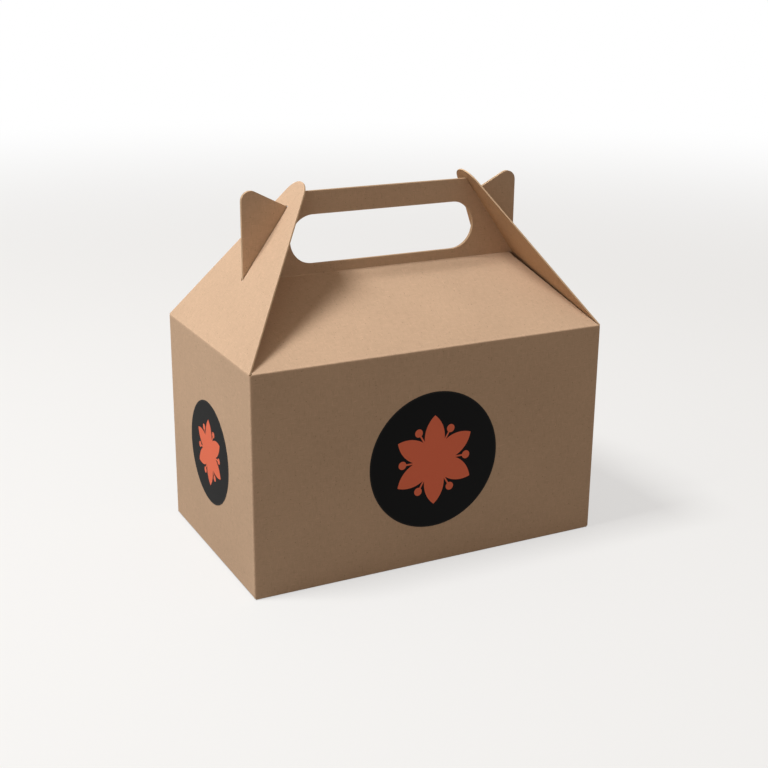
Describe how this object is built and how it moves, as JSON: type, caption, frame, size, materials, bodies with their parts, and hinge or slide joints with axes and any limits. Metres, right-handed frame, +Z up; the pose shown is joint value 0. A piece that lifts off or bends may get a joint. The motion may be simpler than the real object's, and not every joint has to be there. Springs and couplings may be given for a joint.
{
  "type": "gable box",
  "caption": "Kraft board carry box with a hipped roof, a slotted hand grip along its ridge and triangular end flaps that hook over it, with round labels on front and one end.",
  "frame": {"origin": "middle of the base, on the surface the box stands on", "axes": "+X along the box's length towards the right end, +Y towards the back, +Z up; the labelled long wall faces -Y and the labelled end faces -X"},
  "size_m": [0.2162, 0.1282, 0.211],
  "materials": {
    "kraft_board": "matt uncoated brown kraft board with fine fibres",
    "label_paper": "smooth satin black paper",
    "label_print": "flat coral ink"
  },
  "bodies": {
    "carton": {"carton": "kraft_board", "front_label": "label_paper", "front_label_print": "label_print", "end_label": "label_paper", "end_label_print": "label_print"},
    "end_flap_left": {"end_flap_left": "kraft_board"},
    "end_flap_right": {"end_flap_right": "kraft_board"}
  },
  "joints": [
    {"name": "left_flap_hinge", "type": "hinge", "parent": "carton", "child": "end_flap_left", "pos_m": [-0.108, 0, 0.127], "axis": [0, -1, 0], "range_deg": [0, 205]},
    {"name": "right_flap_hinge", "type": "hinge", "parent": "carton", "child": "end_flap_right", "pos_m": [0.108, 0, 0.127], "axis": [0, 1, 0], "range_deg": [0, 205]}
  ]
}
